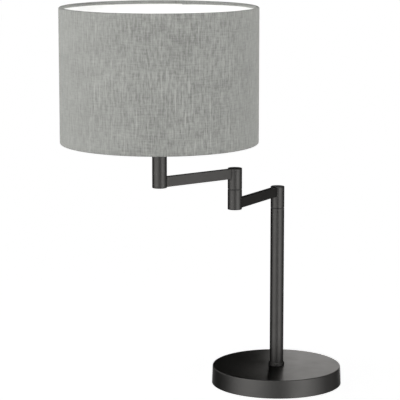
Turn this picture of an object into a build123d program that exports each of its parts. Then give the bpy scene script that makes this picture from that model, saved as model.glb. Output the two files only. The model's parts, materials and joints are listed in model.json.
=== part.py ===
"""Swing arm desk lamp: a weighted round base, a pole, two level arms on upright swivels and a drum shade.

Millimetres, +Z up. The origin is on the surface that the lamp stands on, below the pole's axis.
X runs to the lamp's right and Y to its back, where the mains cord enters. The arms reach forward.
"""
from build123d import *
from math import cos, radians, sin
import os

# ---- overall form -----------------------------------------------------------------------------
base_radius = 104.5          # at the foot of the rim
base_height = 29.2
pole_seam_z = 287.7          # middle of the joint between the pole and its knuckle
tube_diameter = 22.0         # pole, knuckles and riser
arm_length = 143.5           # from axis to axis, both arms
lower_heading = -117.1       # degrees from +X, as the lamp stands at rest
upper_heading = -139.9
shade_radius = 147.0
shade_height = 201.0
riser_length = 69.7          # from its open foot, under the arm, to its top inside the shade
shade_drop = 2.3             # the shade's lower edge hangs this far below the riser's top

# ---- walls, fits and small repeated sizes -----------------------------------------------------
tube_wall = 1.5
edge_chamfer = 0.4
running_gap = 0.05           # radial, between a turning shaft and its hole
free_gap = 0.3               # between pieces that only have to clear one another
lead_radius = 2.0            # twin wires in a sleeve, inside the tubes
lead_bend = 8.0              # centre-line radius where the lead turns from an arm into an upright
lead_rise = 1.5              # the lead lies this far above the base plate

# ---- base -------------------------------------------------------------------------------------
rim_taper = 1.1              # the rim is this much smaller at its top
rim_round = 2.0
cover_wall = 1.5
pad_thickness = 3.0
pad_proud = 0.5              # the pad holds the cover's edge this far off the table
pad_margin = 3.0
plate_thickness = 1.5
plate_margin = 1.0
weight_margin = 1.2
weight_web = 9.0
weight_rim = 10.0
recess_radius = 18.0         # underneath the web, round the nut
recess_web = 5.0             # what the recess leaves of the web
screw_circle = 70.0
screw_count = 3
screw_radius = 2.0
screw_head_radius = 4.0
screw_head_height = 2.2
screw_head_round = 0.7
screw_slot = 1.0             # width and depth of the driver's slot
screw_length = 9.0
boss_radius = 6.0
screw_access = 1.0           # gap round each screw head in the pad
block_size = (22.0, 16.0, 13.0)
block_y = 55.0
block_screw_radius = 1.5
block_screw_length = 16.0
block_screw_head = (2.8, 1.5)
grommet_z = 12.5
grommet_bore = 3.25
grommet_neck = 4.5
grommet_flange = 7.0
grommet_flange_thickness = 1.6
grommet_inner_flange = 5.8
grommet_notch = 12.0         # half width of the way through the weight's rim

# ---- pole foot --------------------------------------------------------------------------------
stud_radius = 5.0
stud_bore = 3.5
stud_hole_gap = 0.2
stud_reach = 12.6            # into the foot plug
stud_tail = 1.0              # below its nut
washer_thickness = 1.5
lock_washer_thickness = 1.2
washer_radius = 11.0
lock_washer_radius = 9.0
lock_washer_split = 1.6
stud_nut_flats = 14.0
stud_nut_height = 4.5
collar_wall = 1.7
collar_height = 4.7
collar_floor = 1.5
plug_length = 18.0

# ---- swivels: the same parts on the pole and at the elbow -------------------------------------
knuckle_height = 34.5        # seam to top, on the pole
elbow_lower_height = 31.4
elbow_upper_height = 32.5
barrel_wall = 2.0
barrel_floor = 5.9
thrust_thickness = 0.8
thrust_inset = 0.5           # the washer's edge stands back, which leaves a fine groove
spindle_radius = 6.0
spindle_bore = 3.5
spindle_seat = 18.0          # length held in the pole's head plug
spindle_head_radius = 8.4
spindle_head_height = 3.0
spindle_tail = 0.6           # above the nut
friction_washer = 1.0
spring_height = 2.0
spring_plate = 0.5
nut_height = 5.0
nut_room = 0.9               # between the nut's corners and the barrel's bore
stop_pin_radius = 1.0
stop_pin_circle = 8.3
stop_pin_seat = 5.0
stop_pin_rise = 3.3
stop_slot_depth = 3.0
stop_slot_gap = 0.2
stop_slot_spare = 0.5        # degrees past each limit
pole_swing = 160.0           # either side of straight ahead
elbow_swing = 165.0          # either side of straight arms
cap_flange = 1.0
cap_lead_room = 1.25         # between a cap's skirt and the lead that turns under it
cap_skirt_wall = 1.5

# ---- arms -------------------------------------------------------------------------------------
arm_height = 15.5
arm_thickness = 8.0
arm_wall = 1.2
arm_corner = 0.6
upper_arm_below_top = 0.5    # the upper arm lies this far below the elbow's top
riser_below_arm = 0.3
lead_hole_radius = 2.5

# ---- lamp holder ------------------------------------------------------------------------------
nipple_length = 20.0
nipple_rise = 8.0
top_plug_length = 15.0
holder_radius = 19.8
holder_wall = 1.8
cap_neck_radius = 8.0
cap_neck_height = 4.0
cap_shoulder_height = 10.0
cap_height = 28.0
switch_height = 19.0         # of the bar's axis above the riser's top
bar_radius = 2.5
bar_length = 62.0
bar_travel = 6.0
bar_round = 1.0
bar_hole_gap = 0.4
block_inset = 0.6
switch_block_height = 13.0
core_height = 33.0
core_well_radius = 14.2
core_floor = 10.5
screw_shell_wall = 0.4
screw_shell_height = 19.0
contact_strip = (6.0, 18.0, 1.0)
contact_rivet_radius = 1.5
shell_height = 40.0
shell_rim = (1.4, 3.0)
ring_width = 8.5
ring_thickness = 4.0
ring_notches = 8
ring_notch_radius = 1.6
ring_seat = 1.0              # of the lower ring above the holder's joint

# ---- bulb -------------------------------------------------------------------------------------
bulb_radius = 30.0
bulb_length = 105.0
bulb_neck_radius = 12.6
bulb_glass_wall = 0.9
bulb_shoulder = 20.0         # degrees below the ball's middle where its side starts to straighten
bulb_neck_height = 6.0       # of the straight part of the neck
bulb_cap_radius = 13.2
bulb_cap_height = 21.0
bulb_cap_wall = 0.5
bulb_cap_overlap = 3.0
bulb_insulator_height = 4.0
bulb_contact_radius = 4.8
bulb_contact_height = 1.5

# ---- shade ------------------------------------------------------------------------------------
cover_thickness = 1.0
lining_thickness = 0.5
hem_width = 7.0
hem_thickness = 0.8
ring_wire = 1.5
spoke_wire = 1.75
spoke_count = 3
spoke_first = 90.0
hub_thickness = 2.0
hub_gap = 0.7
hub_width = 5.5

# ---- places that follow from the sizes --------------------------------------------------------
UP = (Align.CENTER, Align.CENTER, Align.MIN)
tube_radius = tube_diameter / 2
tube_inner = tube_radius - tube_wall
bore_radius = tube_radius - barrel_wall
half_thrust = thrust_thickness / 2
cap_skirt = arm_height / 2 - lead_radius - cap_flange - cap_lead_room


def reach(start, heading, length):
    """The point that lies length away from start, in plan, in the direction of heading."""
    return (start[0] + length * cos(radians(heading)), start[1] + length * sin(radians(heading)))


pole_axis = (0.0, 0.0)
elbow_axis = reach(pole_axis, lower_heading, arm_length)
riser_axis = reach(elbow_axis, upper_heading, arm_length)

plate_z = pad_thickness
plate_top_z = plate_z + plate_thickness
cover_inside_z = base_height - cover_wall
web_z = cover_inside_z - weight_web
recess_z = cover_inside_z - recess_web
cavity_radius = base_radius - rim_taper - cover_wall
weight_radius = cavity_radius - weight_margin
stud_washer_z = recess_z - washer_thickness
lock_washer_z = stud_washer_z - lock_washer_thickness
stud_nut_z = lock_washer_z - stud_nut_height
stud_z = stud_nut_z - stud_tail
pole_foot_z = base_height + collar_floor
pole_top_z = pole_seam_z - half_thrust

knuckle_top_z = pole_seam_z + knuckle_height
lower_arm_z = knuckle_top_z - arm_height
elbow_bottom_z = lower_arm_z
elbow_seam_z = elbow_bottom_z + elbow_lower_height
elbow_top_z = elbow_seam_z + elbow_upper_height
upper_arm_z = elbow_top_z - upper_arm_below_top - arm_height
lower_lead_z = lower_arm_z + arm_height / 2
upper_lead_z = upper_arm_z + arm_height / 2
riser_bottom_z = upper_arm_z - riser_below_arm
riser_top_z = riser_bottom_z + riser_length
shade_bottom_z = riser_top_z - shade_drop
shade_top_z = shade_bottom_z + shade_height

holder_joint_z = riser_top_z + cap_height
switch_z = riser_top_z + switch_height
switch_block_z = switch_z - switch_block_height / 2
core_z = switch_block_z + switch_block_height
bulb_z = core_z + core_floor + contact_strip[2]
lower_ring_z = holder_joint_z + ring_seat
hub_z = lower_ring_z + ring_thickness
upper_ring_z = hub_z + hub_thickness
lining_outer = shade_radius - cover_thickness
lining_inner = lining_outer - lining_thickness
ring_circle = lining_inner - ring_wire
hem_outer = ring_circle - ring_wire
hem_inner = hem_outer - hem_thickness
bottom_ring_z = shade_bottom_z + hem_thickness + ring_wire
top_ring_z = shade_top_z - hem_thickness - ring_wire


# ---- shape helpers ----------------------------------------------------------------------------
def rod(axis, z_low, z_high, radius):
    """An upright round bar."""
    return Pos(axis[0], axis[1], z_low) * Cylinder(radius, z_high - z_low, align=UP)


def ring(axis, z_low, z_high, outer, inner):
    """An upright tube or a flat ring."""
    return rod(axis, z_low, z_high, outer) - rod(axis, z_low, z_high, inner)


def turned(axis, outline):
    """A turned piece: (radius, height) points, in order, spun about an upright axis."""
    wire = Polyline(*[(r, 0, z) for r, z in outline], close=True)
    return Pos(axis[0], axis[1], 0) * revolve(make_face(wire), axis=Axis.Z)


def hexagon(axis, z_low, height, corner_radius):
    """A six-sided prism, measured over its corners."""
    sketch = Pos(axis[0], axis[1], z_low) * RegularPolygon(corner_radius, 6)
    return extrude(sketch, height)


def side_bar(axis, heading, z, start, end, radius):
    """A level round bar that leaves an axis in the direction of heading."""
    bar = Pos(start, 0, 0) * Rot(0, 90, 0) * Cylinder(radius, end - start, align=UP)
    return Pos(axis[0], axis[1], z) * Rot(0, 0, heading) * bar


def lead(points, radii):
    """A sleeved lead along straight runs joined by round bends."""
    route = FilletPolyline(*points, radius=radii) if radii else Polyline(*points)
    start = Vector(*points[0])
    first_run = Plane(origin=start, z_dir=Vector(*points[1]) - start)
    body = sweep(first_run * Circle(lead_radius), path=route)
    section = Circle(lead_radius).area
    print(f"lead: bends {radii}, volume {body.volume:.1f}, section x length {section * route.length:.1f}")
    return body


# ---- base -------------------------------------------------------------------------------------
def base_form(inset):
    """The base's closed outer form, drawn in by inset at its rim and top."""
    low = base_radius - inset
    high = low - rim_taper
    top = base_height - inset
    form = turned(pole_axis, [(0, pad_proud), (low, pad_proud), (high, top), (0, top)])
    edge = form.edges().filter_by(GeomType.CIRCLE).sort_by(Axis.Z)[-1]
    return fillet(edge, max(rim_round - inset, edge_chamfer))


def grommet_bar(radius, start, end):
    """A level bar towards the back at the height of the cord's way in."""
    return side_bar(pole_axis, 90, grommet_z, start, end, radius)


def base_cover():
    """Spun steel cover, open underneath, holed for the stud and the cord."""
    shell = base_form(0) - base_form(cover_wall)
    shell -= rod(pole_axis, 0, base_height + 1, stud_radius + stud_hole_gap)
    return shell - grommet_bar(grommet_neck, cavity_radius / 2, base_radius + 1)


def screw_places():
    """Where the base plate is screwed to the weight."""
    step = 360 / screw_count
    return [reach(pole_axis, -90 + step * turn, screw_circle) for turn in range(screw_count)]


def base_weight():
    """Cast iron weight: a web under the cover, a rim on the plate, screw bosses and a nut recess."""
    weight = rod(pole_axis, web_z, cover_inside_z, weight_radius)
    weight += ring(pole_axis, plate_top_z, web_z, weight_radius, weight_radius - weight_rim)
    for place in screw_places():
        weight += rod(place, plate_top_z, web_z, boss_radius)
        weight -= rod(place, plate_top_z, plate_top_z + screw_length, screw_radius)
    weight -= rod(pole_axis, web_z, recess_z, recess_radius)
    weight -= rod(pole_axis, recess_z, cover_inside_z, stud_radius + stud_hole_gap)
    weight -= rod((0, block_y), web_z, block_z() + block_screw_length, block_screw_radius)
    notch = Box(2 * grommet_notch, 2 * weight_rim, web_z - plate_top_z, align=UP)
    return weight - Pos(0, weight_radius - weight_rim / 2, plate_top_z) * notch


def base_plate():
    """Steel plate that closes the base."""
    plate = rod(pole_axis, plate_z, plate_top_z, base_radius - cover_wall - plate_margin)
    for place in screw_places():
        plate -= rod(place, plate_z, plate_top_z, screw_radius)
    return plate


def plate_screws():
    """Pan head screws up through the plate into the weight."""
    screws = []
    for place in screw_places():
        head = rod(place, plate_z - screw_head_height, plate_z, screw_head_radius)
        head = fillet(head.edges().sort_by(Axis.Z)[0], screw_head_round)
        slot = Box(2 * screw_head_radius, screw_slot, 2 * screw_slot)
        head -= Pos(place[0], place[1], plate_z - screw_head_height) * slot
        screws.append(head + rod(place, plate_z, plate_z + screw_length, screw_radius))
    return Compound(children=screws)


def base_pad():
    """Soft pad glued under the plate, with a hole round each screw head."""
    pad = rod(pole_axis, 0, plate_z, base_radius - cover_wall - pad_margin)
    for place in screw_places():
        pad -= rod(place, 0, plate_z, screw_head_radius + screw_access)
    return pad


def cord_grommet():
    """Bush in the rim where the mains cord enters, with a flange on each side of the wall."""
    outer_end = base_radius - rim_taper / 2 + grommet_flange_thickness
    inner_end = cavity_radius - grommet_flange_thickness
    outer = grommet_bar(grommet_flange, cavity_radius, outer_end) - base_form(0)
    inner = grommet_bar(grommet_inner_flange, inner_end, base_radius) & base_form(cover_wall)
    neck = grommet_bar(grommet_neck, inner_end, base_radius)
    return outer + inner + neck - grommet_bar(grommet_bore, 0, base_radius + grommet_flange)


def block_z():
    """Lower face of the terminal block, which hangs from the web."""
    return web_z - block_size[2]


def terminal_block():
    """Two-way terminal block where the cord meets the internal lead."""
    block = Pos(0, block_y, block_z()) * Box(*block_size, align=UP)
    for side in (-1, 1):
        place = (side * block_size[0] / 4, block_y)
        block -= rod(place, block_z(), block_z() + screw_head_height, screw_radius)
        wire_way = side_bar(place, 90, block_z() + block_size[2] / 2, 0, block_size[1], screw_radius / 2)
        block -= wire_way
    head_radius, head_height = block_screw_head
    block -= rod((0, block_y), block_z(), web_z, block_screw_radius)
    return block - rod((0, block_y), block_z(), block_z() + head_height, head_radius)


def block_screw():
    """Screw that holds the terminal block up to the web."""
    head_radius, head_height = block_screw_head
    head = rod((0, block_y), block_z(), block_z() + head_height, head_radius)
    top = block_z() + block_screw_length
    return head + rod((0, block_y), block_z() + head_height, top, block_screw_radius)


# ---- pole -------------------------------------------------------------------------------------
def pole_stud():
    """Hollow threaded stud that clamps the pole, the collar, the cover and the weight together."""
    return ring(pole_axis, stud_z, pole_foot_z + stud_reach, stud_radius, stud_bore)


def stud_washer():
    """Flat washer under the weight's web."""
    return ring(pole_axis, stud_washer_z, recess_z, washer_radius, stud_radius)


def stud_lock_washer():
    """Split spring washer."""
    washer = ring(pole_axis, lock_washer_z, stud_washer_z, lock_washer_radius, stud_radius)
    split = Box(lock_washer_radius, lock_washer_split, lock_washer_thickness, align=UP)
    return washer - Pos(lock_washer_radius, 0, lock_washer_z) * split


def stud_nut():
    """Thin nut that draws the stack tight."""
    nut = hexagon(pole_axis, stud_nut_z, stud_nut_height, stud_nut_flats / 2 / cos(radians(30)))
    return nut - rod(pole_axis, stud_nut_z, lock_washer_z, stud_radius)


def pole_collar():
    """Turned cup that the pole's foot stands in."""
    outer = tube_radius + collar_wall
    top = base_height + collar_height
    return turned(pole_axis, [
        (stud_radius + stud_hole_gap, base_height), (outer, base_height), (outer, top - 2 * edge_chamfer),
        (outer - 2 * edge_chamfer, top), (tube_radius, top), (tube_radius, pole_foot_z),
        (stud_radius + stud_hole_gap, pole_foot_z)])


def pole_foot_plug():
    """Threaded plug fixed in the pole's foot."""
    return ring(pole_axis, pole_foot_z, pole_foot_z + plug_length, tube_inner, stud_radius)


def open_tube(axis, z_low, z_high):
    """A round tube with a fine chamfer round both of its outer edges."""
    outer, inner = tube_radius, tube_inner
    return turned(axis, [
        (inner, z_low), (outer - edge_chamfer, z_low), (outer, z_low + edge_chamfer),
        (outer, z_high - edge_chamfer), (outer - edge_chamfer, z_high), (inner, z_high)])


def pole_tube():
    """The pole."""
    return open_tube(pole_axis, pole_foot_z, pole_top_z)


def stop_pin_place(axis, heading):
    """Where a stop pin stands, in plan."""
    return reach(axis, heading, stop_pin_circle)


def pole_pin_place():
    """The pole's stop pin stands at the back, above the cord's way in."""
    return stop_pin_place(pole_axis, 90)


def elbow_pin_place():
    """The elbow's stop pin stands at the far end of the lower arm's line, towards the pole."""
    return stop_pin_place(elbow_axis, lower_heading + 180)


def pole_head_plug():
    """Plug fixed in the pole's top, which holds the spindle and the stop pin."""
    plug = ring(pole_axis, pole_top_z - spindle_seat, pole_top_z, tube_inner, spindle_radius)
    return plug - rod(pole_pin_place(), pole_top_z - stop_pin_seat, pole_top_z, stop_pin_radius)


# ---- swivel parts, each used twice ------------------------------------------------------------
def nut_z(seam_z):
    """Lower face of a swivel's nut."""
    return seam_z + half_thrust + barrel_floor + 2 * friction_washer + spring_height


def spindle_top_z(seam_z):
    """Top of a swivel's spindle."""
    return nut_z(seam_z) + nut_height + spindle_tail


def stop_pin(place, seam_z):
    """Stop pin, seated below the seam."""
    low = seam_z - half_thrust - stop_pin_seat
    return rod(place, low, seam_z - half_thrust + stop_pin_rise, stop_pin_radius)


def thrust_washer(axis, seam_z, pin_place):
    """Nylon washer that the swivel turns on."""
    low, high = seam_z - half_thrust, seam_z + half_thrust
    washer = ring(axis, low, high, tube_radius - thrust_inset, spindle_radius)
    return washer - rod(pin_place, low, high, stop_pin_radius)


def friction_washers(axis, seam_z):
    """Two steel washers, below and above the spring discs."""
    low = seam_z + half_thrust + barrel_floor
    outer = bore_radius - 2 * free_gap
    upper = low + friction_washer + spring_height
    return Compound(children=[
        ring(axis, low, low + friction_washer, outer, spindle_radius),
        ring(axis, upper, upper + friction_washer, outer, spindle_radius)])


def disc_springs(axis, seam_z):
    """Two coned spring discs, crown to crown, that keep the swivel at a steady friction."""
    low = seam_z + half_thrust + barrel_floor + friction_washer
    inner, outer = spindle_radius + running_gap, bore_radius - 2 * free_gap
    half = spring_height / 2
    discs = []
    for face, toward in ((low, 1), (low + spring_height, -1)):
        discs.append(turned(axis, [
            (outer, face), (outer, face + toward * spring_plate), (inner, face + toward * half),
            (inner, face + toward * (half - spring_plate))]))
    return Compound(children=discs)


def spindle_nut(axis, seam_z):
    """Nut that loads the spring discs."""
    low = nut_z(seam_z)
    nut = hexagon(axis, low, nut_height, bore_radius - nut_room)
    return nut - rod(axis, low, low + nut_height, spindle_radius)


def bored_barrel(axis, z_floor, z_open, up):
    """Barrel with a floor at one end and an open bore at the other. up is 1 or -1, towards the open end."""
    r = tube_radius
    return turned(axis, [
        (0, z_floor), (r - edge_chamfer, z_floor), (r, z_floor + up * edge_chamfer),
        (r, z_open - up * edge_chamfer), (r - edge_chamfer, z_open), (bore_radius, z_open),
        (bore_radius, z_floor + up * barrel_floor), (0, z_floor + up * barrel_floor)])


def barrel_cap(axis, z_outer, up, bore):
    """Pressed-in cap with a flange as wide as the tube. up is 1 for a top cap and -1 for a bottom cap."""
    r = tube_radius
    seat = z_outer - up * cap_flange
    return turned(axis, [
        (0, z_outer), (r - edge_chamfer, z_outer), (r, z_outer - up * edge_chamfer), (r, seat),
        (bore, seat), (bore, seat - up * cap_skirt), (bore - cap_skirt_wall, seat - up * cap_skirt),
        (bore - cap_skirt_wall, seat), (0, seat)])


def stop_slot(axis, seam_z, arm_heading, swing):
    """Curved slot under a turning barrel, with a stop left standing on the arm's side."""
    low = seam_z + half_thrust
    half_width = stop_pin_radius + stop_slot_gap
    inner, outer = stop_pin_circle - half_width, stop_pin_circle + half_width
    stop_half = 180 - swing - stop_slot_spare
    sides = [reach(axis, arm_heading + side * stop_half, 2 * tube_radius) for side in (-1, 1)]
    wedge = extrude(Pos(0, 0, low) * make_face(Polyline(axis, *sides, close=True)), stop_slot_depth)
    slot = ring(axis, low, low + stop_slot_depth, outer, inner) - wedge
    for side in (-1, 1):
        end = reach(axis, arm_heading + side * stop_half, stop_pin_circle)
        slot += rod(end, low, low + stop_slot_depth, half_width)
    return slot


def turning_barrel(axis, seam_z, top_z, arm_heading, lead_z, swing):
    """Barrel that turns on a spindle and carries an arm."""
    low = seam_z + half_thrust
    barrel = bored_barrel(axis, low, top_z - cap_flange, 1)
    barrel -= rod(axis, low, low + barrel_floor, spindle_radius + running_gap)
    barrel -= stop_slot(axis, seam_z, arm_heading, swing)
    return barrel - side_bar(axis, arm_heading, lead_z, 0, 2 * tube_radius, lead_hole_radius)


# ---- knuckle, lower arm and the elbow's lower half ---------------------------------------------
def pole_spindle():
    """Hollow spindle that the knuckle turns on."""
    low = pole_top_z - spindle_seat
    return ring(pole_axis, low, spindle_top_z(pole_seam_z), spindle_radius, spindle_bore)


def knuckle_barrel():
    """Barrel on the pole, which carries the lower arm."""
    return turning_barrel(pole_axis, pole_seam_z, knuckle_top_z, lower_heading, lower_lead_z, pole_swing)


def arm_bar(start, heading, z_low):
    """Rectangular tube from one upright to the next, hollowed to fit round both."""
    mid = reach(start, heading, arm_length / 2)
    end = reach(start, heading, arm_length)
    blank = Box(arm_length, arm_thickness, arm_height)
    blank = fillet(blank.edges().filter_by(Axis.X), arm_corner)
    blank -= Box(arm_length, arm_thickness - 2 * arm_wall, arm_height - 2 * arm_wall)
    bar = Pos(mid[0], mid[1], z_low + arm_height / 2) * Rot(0, 0, heading) * blank
    for axis in (start, end):
        bar -= rod(axis, z_low, z_low + arm_height, tube_radius)
    return bar


def lower_arm():
    """Arm from the knuckle to the elbow."""
    return arm_bar(pole_axis, lower_heading, lower_arm_z)


def elbow_lower_barrel():
    """Lower half of the elbow: its closed top holds the spindle and the stop pin."""
    top = elbow_seam_z - half_thrust
    barrel = bored_barrel(elbow_axis, top, elbow_bottom_z + cap_flange, -1)
    barrel -= rod(elbow_axis, top - barrel_floor, top, spindle_radius)
    barrel -= rod(elbow_pin_place(), top - stop_pin_seat, top, stop_pin_radius)
    back = lower_heading + 180
    return barrel - side_bar(elbow_axis, back, lower_lead_z, 0, 2 * tube_radius, lead_hole_radius)


def elbow_spindle():
    """Hollow spindle with a head under the lower half's top."""
    seat = elbow_seam_z - half_thrust - barrel_floor
    top = spindle_top_z(elbow_seam_z)
    spindle = rod(elbow_axis, seat - spindle_head_height, seat, spindle_head_radius)
    spindle += rod(elbow_axis, seat, top, spindle_radius)
    return spindle - rod(elbow_axis, seat - spindle_head_height, top, spindle_bore)


# ---- elbow's upper half, upper arm and riser ---------------------------------------------------
def elbow_upper_barrel():
    """Upper half of the elbow, which carries the upper arm."""
    return turning_barrel(elbow_axis, elbow_seam_z, elbow_top_z, upper_heading, upper_lead_z, elbow_swing)


def upper_arm():
    """Arm from the elbow to the riser."""
    return arm_bar(elbow_axis, upper_heading, upper_arm_z)


def riser_tube():
    """Upright tube at the upper arm's end, that carries the lamp holder."""
    tube = open_tube(riser_axis, riser_bottom_z + cap_flange, riser_top_z)
    back = upper_heading + 180
    return tube - side_bar(riser_axis, back, upper_lead_z, 0, 2 * tube_radius, lead_hole_radius)


def riser_top_plug():
    """Threaded plug fixed in the riser's top."""
    return ring(riser_axis, riser_top_z - top_plug_length, riser_top_z, tube_inner, stud_radius)


# ---- lamp holder ------------------------------------------------------------------------------
def holder_nipple():
    """Hollow nipple from the riser's plug into the lamp holder."""
    top = riser_top_z + nipple_rise
    return ring(riser_axis, top - nipple_length, top, stud_radius, stud_bore)


def switch_bar_shape(radius, length):
    """A level round bar along X, centred on the lamp holder at the switch's height."""
    return side_bar(riser_axis, 0, switch_z, -length / 2, length / 2, radius)


def holder_cap():
    """Lower half of the lamp holder, from the nipple out to the holder's full width."""
    base, shoulder, top = riser_top_z, riser_top_z + cap_shoulder_height, holder_joint_z
    neck_top = base + cap_neck_height
    inner = holder_radius - holder_wall
    cap = turned(riser_axis, [
        (stud_radius, base), (cap_neck_radius, base), (cap_neck_radius, neck_top),
        (holder_radius - edge_chamfer, shoulder), (holder_radius, shoulder + edge_chamfer),
        (holder_radius, top), (inner, top), (inner, shoulder + edge_chamfer),
        (cap_neck_radius, neck_top + holder_wall), (stud_radius, neck_top + holder_wall)])
    return cap - switch_bar_shape(bar_radius + bar_hole_gap, 2 * holder_radius + 2)


def switch_block():
    """Switch body inside the cap, bored for the push bar."""
    block = rod(riser_axis, switch_block_z, core_z, holder_radius - holder_wall - block_inset)
    return block - switch_bar_shape(bar_radius + running_gap, 2 * holder_radius)


def switch_bar():
    """Push bar: it stands out further at the right, and a push moves it to the left."""
    bar = fillet(switch_bar_shape(bar_radius, bar_length).edges().filter_by(GeomType.CIRCLE), bar_round)
    return Pos(bar_travel / 2, 0, 0) * bar


def holder_core():
    """Insulating core with a well for the bulb's cap."""
    core = rod(riser_axis, core_z, core_z + core_height, holder_radius - holder_wall - block_inset)
    core -= rod(riser_axis, core_z + core_floor, core_z + core_height, core_well_radius)
    return core - rod(riser_axis, core_z, core_z + core_floor, contact_rivet_radius)


def screw_shell():
    """Brass sleeve that the bulb screws into."""
    low = bulb_z + bulb_contact_height
    inner = core_well_radius - screw_shell_wall
    return ring(riser_axis, low, low + screw_shell_height, core_well_radius, inner)


def centre_contact():
    """Brass strip under the bulb, riveted through the core."""
    width, length, thickness = contact_strip
    floor = core_z + core_floor
    strip = Pos(riser_axis[0], riser_axis[1], floor) * Box(width, length, thickness, align=UP)
    return strip + rod(riser_axis, core_z, floor, contact_rivet_radius)


def holder_shell():
    """Upper half of the lamp holder, threaded outside for the shade rings, with a rim at its top."""
    rim_width, rim_height = shell_rim
    top = holder_joint_z + shell_height
    inner, rim = holder_radius - holder_wall, holder_radius + rim_width
    return turned(riser_axis, [
        (inner, holder_joint_z), (holder_radius, holder_joint_z),
        (holder_radius, top - rim_height - rim_width), (rim, top - rim_height),
        (rim, top - edge_chamfer), (rim - edge_chamfer, top), (inner, top)])


def shade_rings():
    """Two threaded rings that clamp the shade's hub, with finger notches round their edges."""
    rings = []
    outer = holder_radius + ring_width
    for low in (lower_ring_z, upper_ring_z):
        clamp = ring(riser_axis, low, low + ring_thickness, outer, holder_radius)
        for turn in range(ring_notches):
            place = reach(riser_axis, 360 * (turn + 0.5) / ring_notches, outer)
            clamp -= rod(place, low, low + ring_thickness, ring_notch_radius)
        rings.append(clamp)
    return Compound(children=rings)


# ---- bulb -------------------------------------------------------------------------------------
def glass_form(inset):
    """Pear-shaped bulb: a ball that runs down to a neck, drawn in by inset."""
    ball_z = bulb_z + bulb_length - bulb_radius
    neck_z = bulb_z + bulb_contact_height + bulb_insulator_height + bulb_cap_height - bulb_cap_overlap
    ball, neck = bulb_radius - inset, bulb_neck_radius - inset
    low = neck_z + inset
    neck_top = (neck, 0, low + bulb_neck_height)
    across, down = cos(radians(bulb_shoulder)), sin(radians(bulb_shoulder))
    crown = Pos(0, 0, ball_z) * Rot(90, 0, 0) * CenterArc((0, 0, 0), ball, -bulb_shoulder, 90 + bulb_shoulder)
    shoulder = (ball * across, 0, ball_z - ball * down)
    side = Spline(shoulder, neck_top, tangents=[(-down, 0, -across), (0, 0, -1)])
    rest = Polyline(neck_top, (neck, 0, low), (0, 0, low), (0, 0, ball_z + ball))
    outline = make_face([*crown.edges(), *side.edges(), *rest.edges()])
    return Pos(*riser_axis, 0) * revolve(outline, axis=Axis.Z)


def bulb_glass():
    """Frosted glass of the bulb."""
    return glass_form(0) - glass_form(bulb_glass_wall)


def bulb_cap():
    """Screw cap of the bulb, closed over the neck of the glass."""
    low = bulb_z + bulb_contact_height + bulb_insulator_height
    top = low + bulb_cap_height
    inner = bulb_cap_radius - bulb_cap_wall
    return turned(riser_axis, [
        (inner, low), (bulb_cap_radius, low), (bulb_cap_radius, top), (bulb_neck_radius, top),
        (bulb_neck_radius, top - bulb_cap_overlap), (inner, top - bulb_cap_overlap)])


def bulb_insulator():
    """Glass insulator at the foot of the bulb's cap."""
    low = bulb_z + bulb_contact_height
    top = low + bulb_insulator_height
    return turned(riser_axis, [
        (0, low), (bulb_contact_radius, low), (bulb_cap_radius - bulb_cap_wall, top), (0, top)])


def bulb_contact():
    """Centre contact of the bulb."""
    return rod(riser_axis, bulb_z, bulb_z + bulb_contact_height, bulb_contact_radius)


# ---- shade ------------------------------------------------------------------------------------
def wire_ring(z):
    """Wire ring at an edge of the shade."""
    return Pos(riser_axis[0], riser_axis[1], z) * Torus(ring_circle, ring_wire)


def spokes():
    """Straight wires from the hub out and down to the lower wire ring."""
    hub_edge = holder_radius + hub_gap + hub_width / 2
    hub_mid = hub_z + hub_thickness / 2
    wires = []
    for turn in range(spoke_count):
        heading = spoke_first + 360 * turn / spoke_count
        start = Vector(*reach(riser_axis, heading, hub_edge), hub_mid)
        end = Vector(*reach(riser_axis, heading, ring_circle), bottom_ring_z)
        run = Plane(origin=start, z_dir=end - start)
        wires.append(run * Cylinder(spoke_wire, (end - start).length, align=UP))
    return wires


def shade_spider():
    """Hub between the two shade rings, with three spokes welded to the lower wire ring."""
    hub_inner = holder_radius + hub_gap
    ring_outer = holder_radius + ring_width
    spider = ring(riser_axis, hub_z, upper_ring_z, hub_inner + hub_width, hub_inner)
    clamp_low = rod(riser_axis, lower_ring_z, hub_z, ring_outer)
    clamp_high = rod(riser_axis, upper_ring_z, upper_ring_z + ring_thickness, ring_outer)
    hole = rod(riser_axis, hub_z, upper_ring_z, hub_inner)
    for leg in spokes():
        spider += leg - clamp_low - clamp_high - hole
    return spider - wire_ring(bottom_ring_z)


def shade_cover():
    """Fabric drum, turned in over a wire ring at each edge."""
    low, high = shade_bottom_z, shade_top_z
    fold = ring_wire + cover_thickness / 2
    drum = turned(riser_axis, [
        (shade_radius, low + fold), (shade_radius, high - fold),
        (shade_radius - fold, high), (hem_inner + fold / 2, high), (hem_inner, high - fold / 2),
        (hem_inner, high - hem_width), (hem_outer, high - hem_width), (hem_outer, high - hem_thickness),
        (lining_outer, high - hem_thickness), (lining_outer, low + hem_thickness),
        (hem_outer, low + hem_thickness), (hem_outer, low + hem_width), (hem_inner, low + hem_width),
        (hem_inner, low + fold / 2), (hem_inner + fold / 2, low), (shade_radius - fold, low)])
    for leg in spokes():
        drum -= leg
    return drum


def shade_lining():
    """White lining bonded to the inside of the fabric."""
    low = shade_bottom_z + hem_thickness
    high = shade_top_z - hem_thickness
    return ring(riser_axis, low, high, lining_outer, lining_inner)


# ---- internal lead, in three lengths that meet at the swivels ----------------------------------
def base_lead():
    """From the terminal block to the pole and up to the pole's seam."""
    level = plate_top_z + lead_radius + lead_rise
    bend = stud_z - level
    start = (0, block_y - block_size[1] / 2, level)
    return lead([start, (0, 0, level), (0, 0, pole_seam_z)], [bend])


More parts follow.
